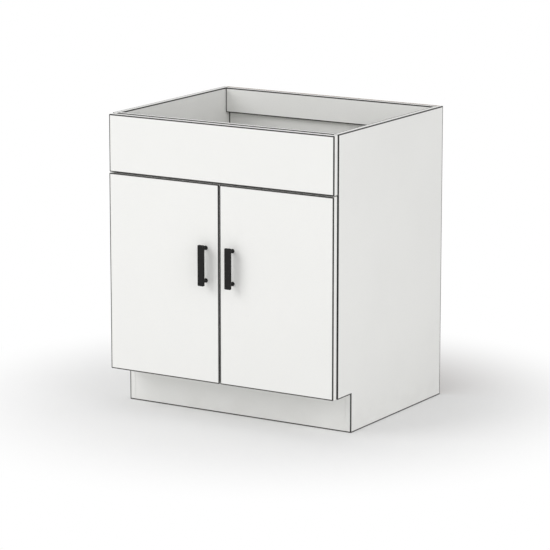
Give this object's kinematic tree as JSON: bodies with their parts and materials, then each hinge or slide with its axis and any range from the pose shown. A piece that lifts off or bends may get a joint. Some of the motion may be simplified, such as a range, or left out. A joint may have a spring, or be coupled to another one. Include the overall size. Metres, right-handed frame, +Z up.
{
  "type": "sink base cabinet",
  "caption": "Open-top kitchen sink base cabinet with a fixed false front, slab doors on concealed cup hinges, bar handles and a recessed toe kick.",
  "frame": {"origin": "centre of the overall footprint, handles included, on the floor", "axes": "+Z up, front and doors face -Y, +X is the cabinet's right seen from the front"},
  "size_m": [0.762, 0.664, 0.8763],
  "materials": {
    "carcass_board": "white melamine-faced board, fine pebble texture, thin dark line at its banded edges",
    "back_board": "thin hardboard, white inside face, bare brown outside face",
    "front_board": "white satin laminate with a thin dark line along its edges",
    "handle_metal": "matt black powder coat",
    "hinge_steel": "nickel-plated pressed steel",
    "screw_steel": "zinc-plated",
    "bumper_rubber": "clear soft bumper"
  },
  "bodies": {
    "carcass": {"left_side_panel": "carcass_board", "right_side_panel": "carcass_board", "bottom_panel": "carcass_board", "back_panel": "back_board", "front_rail": "carcass_board", "back_rail": "carcass_board", "toe_kick": "carcass_board", "false_front": "front_board", "false_front_screw_left_lower": "screw_steel", "false_front_screw_left_upper": "screw_steel", "false_front_screw_right_lower": "screw_steel", "false_front_screw_right_upper": "screw_steel", "left_lower_hinge_arm": "hinge_steel", "left_lower_hinge_plate": "hinge_steel", "left_lower_hinge_plate_screw_a": "screw_steel", "left_lower_hinge_plate_screw_b": "screw_steel", "left_upper_hinge_arm": "hinge_steel", "left_upper_hinge_plate": "hinge_steel", "left_upper_hinge_plate_screw_a": "screw_steel", "left_upper_hinge_plate_screw_b": "screw_steel", "right_lower_hinge_arm": "hinge_steel", "right_lower_hinge_plate": "hinge_steel", "right_lower_hinge_plate_screw_a": "screw_steel", "right_lower_hinge_plate_screw_b": "screw_steel", "right_upper_hinge_arm": "hinge_steel", "right_upper_hinge_plate": "hinge_steel", "right_upper_hinge_plate_screw_a": "screw_steel", "right_upper_hinge_plate_screw_b": "screw_steel"},
    "left_outer_links": {"left_lower_hinge_outer_link": "hinge_steel", "left_upper_hinge_outer_link": "hinge_steel"},
    "left_inner_links": {"left_lower_hinge_inner_link": "hinge_steel", "left_upper_hinge_inner_link": "hinge_steel"},
    "left_door_leaf": {"left_door": "front_board", "left_handle": "handle_metal", "left_handle_screw_lower": "screw_steel", "left_handle_screw_upper": "screw_steel", "left_bumper_lower": "bumper_rubber", "left_bumper_upper": "bumper_rubber", "left_lower_hinge_cup": "hinge_steel", "left_lower_hinge_cup_screw_a": "screw_steel", "left_lower_hinge_cup_screw_b": "screw_steel", "left_upper_hinge_cup": "hinge_steel", "left_upper_hinge_cup_screw_a": "screw_steel", "left_upper_hinge_cup_screw_b": "screw_steel"},
    "right_outer_links": {"right_lower_hinge_outer_link": "hinge_steel", "right_upper_hinge_outer_link": "hinge_steel"},
    "right_inner_links": {"right_lower_hinge_inner_link": "hinge_steel", "right_upper_hinge_inner_link": "hinge_steel"},
    "right_door_leaf": {"right_door": "front_board", "right_handle": "handle_metal", "right_handle_screw_lower": "screw_steel", "right_handle_screw_upper": "screw_steel", "right_bumper_lower": "bumper_rubber", "right_bumper_upper": "bumper_rubber", "right_lower_hinge_cup": "hinge_steel", "right_lower_hinge_cup_screw_a": "screw_steel", "right_lower_hinge_cup_screw_b": "screw_steel", "right_upper_hinge_cup": "hinge_steel", "right_upper_hinge_cup_screw_a": "screw_steel", "right_upper_hinge_cup_screw_b": "screw_steel"}
  },
  "joints": [
    {"name": "left_door_swing", "type": "hinge", "parent": "left_outer_links", "child": "left_door_leaf", "pos_m": [-0.36806, -0.28429, 0.4143], "axis": [0, 0, -1], "range_deg": [0, 131]},
    {"name": "left_outer_link_swing", "type": "hinge", "parent": "carcass", "child": "left_outer_links", "pos_m": [-0.34211, -0.26315, 0.4143], "axis": [0, 0, 1], "range_deg": [0, 31.02]},
    {"name": "left_inner_link_swing", "type": "hinge", "parent": "carcass", "child": "left_inner_links", "pos_m": [-0.3361, -0.27402, 0.4143], "axis": [0, 0, 1], "range_deg": [0, 23.66]},
    {"name": "right_door_swing", "type": "hinge", "parent": "right_outer_links", "child": "right_door_leaf", "pos_m": [0.36806, -0.28429, 0.4143], "axis": [0, 0, 1], "range_deg": [0, 131]},
    {"name": "right_outer_link_swing", "type": "hinge", "parent": "carcass", "child": "right_outer_links", "pos_m": [0.34211, -0.26315, 0.4143], "axis": [0, 0, -1], "range_deg": [0, 31.02]},
    {"name": "right_inner_link_swing", "type": "hinge", "parent": "carcass", "child": "right_inner_links", "pos_m": [0.3361, -0.27402, 0.4143], "axis": [0, 0, -1], "range_deg": [0, 23.66]}
  ],
  "couplings": [
    {"joint": "left_outer_link_swing", "follows": "left_door_swing", "ratio": 0.23664},
    {"joint": "left_inner_link_swing", "follows": "left_door_swing", "ratio": 0.18046},
    {"joint": "right_outer_link_swing", "follows": "right_door_swing", "ratio": 0.23664},
    {"joint": "right_inner_link_swing", "follows": "right_door_swing", "ratio": 0.18046}
  ]
}
